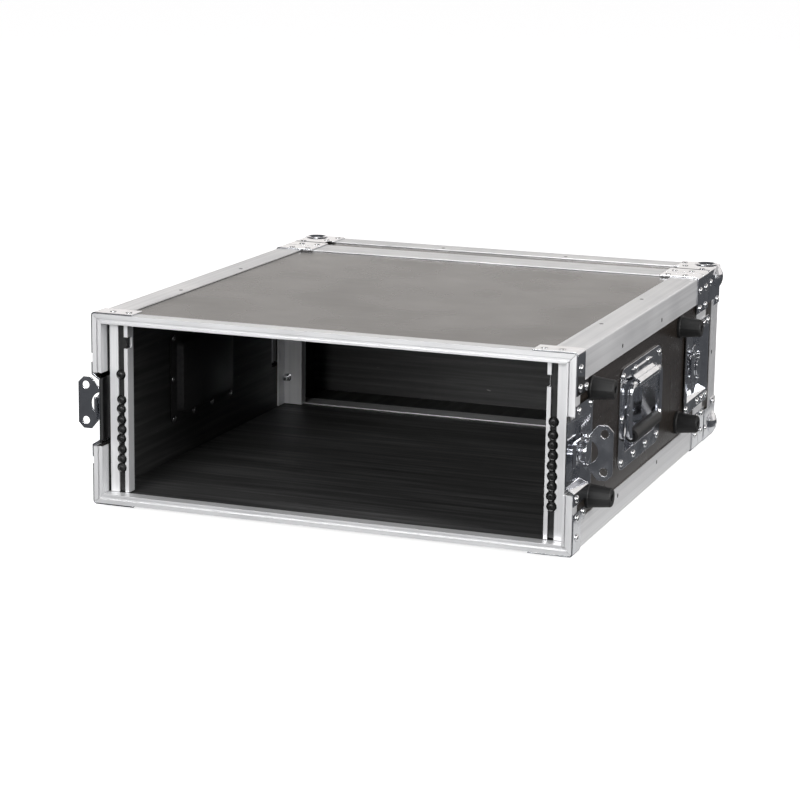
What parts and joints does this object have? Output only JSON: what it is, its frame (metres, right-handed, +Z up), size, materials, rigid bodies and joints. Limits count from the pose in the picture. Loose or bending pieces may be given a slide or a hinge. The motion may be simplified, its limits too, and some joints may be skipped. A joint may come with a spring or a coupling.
{
  "type": "equipment rack case",
  "caption": "Four-unit 19-inch flight case with slotted rack rails, recessed handles, butterfly latches, rubber side feet and a removable rear lid; open at the front.",
  "frame": {"origin": "centre of the bounding box's base: under the middle of the case, level with the undersides of the lower ball corners", "axes": "+Y from the open front to the rear lid, +X to the right-hand side seen from the front, +Z up"},
  "size_m": [0.5784, 0.593, 0.2086],
  "materials": {
    "plywood": "plywood with a dark brown phenolic film, satin",
    "aluminium": "extruded, fine lines along its length",
    "chrome": "bright chromed pressed steel",
    "rubber": "matt black moulded rubber",
    "black_steel": "black zinc-plated screws",
    "black_cover": "black cover over the handle recess inside"
  },
  "bodies": {
    "case": {"bottom_panel": "plywood", "edge_angle_bottom_left": "aluminium", "edge_angle_bottom_right": "aluminium", "edge_angle_top_left": "aluminium", "edge_angle_top_right": "aluminium", "foot_front_lower": "rubber", "foot_front_upper": "rubber", "foot_rear_lower": "rubber", "foot_rear_upper": "rubber", "front_brace_bottom_left": "chrome", "front_brace_bottom_right": "chrome", "front_brace_top_left": "chrome", "front_brace_top_right": "chrome", "front_frame_bottom": "aluminium", "front_frame_left_lower": "aluminium", "front_frame_left_upper": "aluminium", "front_frame_right_lower": "aluminium", "front_frame_right_upper": "aluminium", "front_frame_top": "aluminium", "handle_dish_left": "chrome", "handle_dish_right": "chrome", "latch_dish_front_left": "chrome", "latch_dish_front_right": "chrome", "latch_dish_rear_left": "chrome", "latch_dish_rear_right": "chrome", "left_panel": "plywood", "rack_rail_front_left": "aluminium", "rack_rail_front_right": "aluminium", "rack_rail_rear_left": "aluminium", "rack_rail_rear_right": "aluminium", "rear_frame_lower": "aluminium", "rear_frame_upper": "aluminium", "right_panel": "plywood", "top_panel": "plywood"},
    "lid": {"lid_back_panel": "plywood", "lid_rim": "plywood", "lid_frame": "aluminium", "lid_edge_angle": "aluminium", "latch_keeper_left": "chrome", "latch_keeper_right": "chrome", "ball_corner_bottom_left": "chrome", "ball_corner_bottom_right": "chrome", "ball_corner_top_left": "chrome", "ball_corner_top_right": "chrome"},
    "handle_right": {"handle_bail_right": "chrome", "handle_grip_right": "rubber"},
    "latch_rotor_front_right": {"latch_rotor_front_right": "chrome"},
    "latch_wing_front_right": {"latch_wing_front_right": "chrome"},
    "latch_hook_front_right": {"latch_hook_front_right": "chrome"},
    "latch_rotor_rear_right": {"latch_rotor_rear_right": "chrome"},
    "latch_wing_rear_right": {"latch_wing_rear_right": "chrome"},
    "latch_hook_rear_right": {"latch_hook_rear_right": "chrome"},
    "handle_left": {"handle_bail_left": "chrome", "handle_grip_left": "rubber"},
    "latch_rotor_front_left": {"latch_rotor_front_left": "chrome"},
    "latch_wing_front_left": {"latch_wing_front_left": "chrome"},
    "latch_hook_front_left": {"latch_hook_front_left": "chrome"},
    "latch_rotor_rear_left": {"latch_rotor_rear_left": "chrome"},
    "latch_wing_rear_left": {"latch_wing_rear_left": "chrome"},
    "latch_hook_rear_left": {"latch_hook_rear_left": "chrome"}
  },
  "joints": [
    {"name": "lid_off", "type": "slide", "parent": "case", "child": "lid", "axis": [0, 1, 0], "range_m": [0, 0.12]},
    {"name": "handle_swing_right", "type": "hinge", "parent": "case", "child": "handle_right", "pos_m": [0.2623, -0.0505, 0.138], "axis": [0, -1, 0], "range_deg": [0, 95]},
    {"name": "latch_turn_front_right", "type": "hinge", "parent": "case", "child": "latch_rotor_front_right", "pos_m": [0.251, -0.2685, 0.1055], "axis": [1, 0, 0], "range_deg": [0, 180]},
    {"name": "latch_draw_front_right", "type": "slide", "parent": "case", "child": "latch_hook_front_right", "axis": [0, -1, 0], "range_m": [0, 0.008]},
    {"name": "wing_fold_front_right", "type": "hinge", "parent": "latch_rotor_front_right", "child": "latch_wing_front_right", "pos_m": [0.2622, -0.2685, 0.1055], "axis": [0, 0, 1], "range_deg": [0, 90]},
    {"name": "latch_turn_rear_right", "type": "hinge", "parent": "case", "child": "latch_rotor_rear_right", "pos_m": [0.251, 0.1795, 0.1055], "axis": [1, 0, 0], "range_deg": [0, 180]},
    {"name": "latch_draw_rear_right", "type": "slide", "parent": "case", "child": "latch_hook_rear_right", "axis": [0, -1, 0], "range_m": [0, 0.008]},
    {"name": "wing_fold_rear_right", "type": "hinge", "parent": "latch_rotor_rear_right", "child": "latch_wing_rear_right", "pos_m": [0.2622, 0.1795, 0.1055], "axis": [0, 0, 1], "range_deg": [0, 90]},
    {"name": "handle_swing_left", "type": "hinge", "parent": "case", "child": "handle_left", "pos_m": [-0.2623, -0.0505, 0.138], "axis": [0, 1, 0], "range_deg": [0, 95]},
    {"name": "latch_turn_front_left", "type": "hinge", "parent": "case", "child": "latch_rotor_front_left", "pos_m": [-0.251, -0.2685, 0.1055], "axis": [-1, 0, 0], "range_deg": [0, 180]},
    {"name": "latch_draw_front_left", "type": "slide", "parent": "case", "child": "latch_hook_front_left", "axis": [0, -1, 0], "range_m": [0, 0.008]},
    {"name": "wing_fold_front_left", "type": "hinge", "parent": "latch_rotor_front_left", "child": "latch_wing_front_left", "pos_m": [-0.2622, -0.2685, 0.1055], "axis": [0, 0, -1], "range_deg": [0, 90]},
    {"name": "latch_turn_rear_left", "type": "hinge", "parent": "case", "child": "latch_rotor_rear_left", "pos_m": [-0.251, 0.1795, 0.1055], "axis": [-1, 0, 0], "range_deg": [0, 180]},
    {"name": "latch_draw_rear_left", "type": "slide", "parent": "case", "child": "latch_hook_rear_left", "axis": [0, -1, 0], "range_m": [0, 0.008]},
    {"name": "wing_fold_rear_left", "type": "hinge", "parent": "latch_rotor_rear_left", "child": "latch_wing_rear_left", "pos_m": [-0.2622, 0.1795, 0.1055], "axis": [0, 0, -1], "range_deg": [0, 90]}
  ],
  "couplings": [
    {"joint": "latch_draw_front_right", "follows": "latch_turn_front_right", "m_per_rad": 0.002546},
    {"joint": "latch_draw_rear_right", "follows": "latch_turn_rear_right", "m_per_rad": 0.002546},
    {"joint": "latch_draw_front_left", "follows": "latch_turn_front_left", "m_per_rad": 0.002546},
    {"joint": "latch_draw_rear_left", "follows": "latch_turn_rear_left", "m_per_rad": 0.002546}
  ]
}
